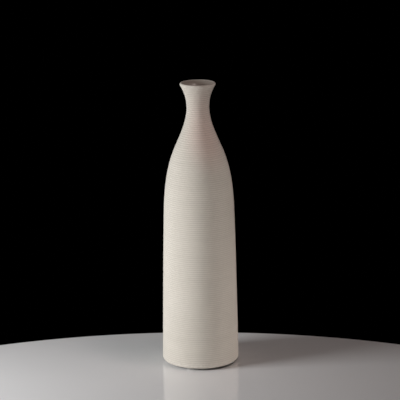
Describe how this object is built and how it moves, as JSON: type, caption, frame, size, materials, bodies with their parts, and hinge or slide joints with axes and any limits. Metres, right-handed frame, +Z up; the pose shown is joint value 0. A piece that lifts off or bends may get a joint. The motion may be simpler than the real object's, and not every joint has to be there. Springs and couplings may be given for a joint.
{
  "type": "bottle vase",
  "caption": "Tall unglazed stoneware bottle vase with fine turned rings, a narrow flared neck and a glazed inside, standing on clear stick-on feet.",
  "frame": {"origin": "on the vase's axis, on the surface that it stands on", "axes": "+Z up along the vase's axis, -Y the front, +X to the right"},
  "size_m": [0.0808, 0.0808, 0.3],
  "materials": {
    "stoneware": "unglazed, matte, turned",
    "lining_glaze": "semi-gloss glaze",
    "clear_bumper": "clear, soft, moulded",
    "adhesive": "clear adhesive"
  },
  "bodies": {
    "root": {"vase_body": "stoneware", "inner_glaze": "lining_glaze", "bumper_front": "clear_bumper", "bumper_right": "clear_bumper", "bumper_back": "clear_bumper", "bumper_left": "clear_bumper", "adhesive_disc_front": "adhesive", "adhesive_disc_right": "adhesive", "adhesive_disc_back": "adhesive", "adhesive_disc_left": "adhesive"}
  },
  "joints": []
}
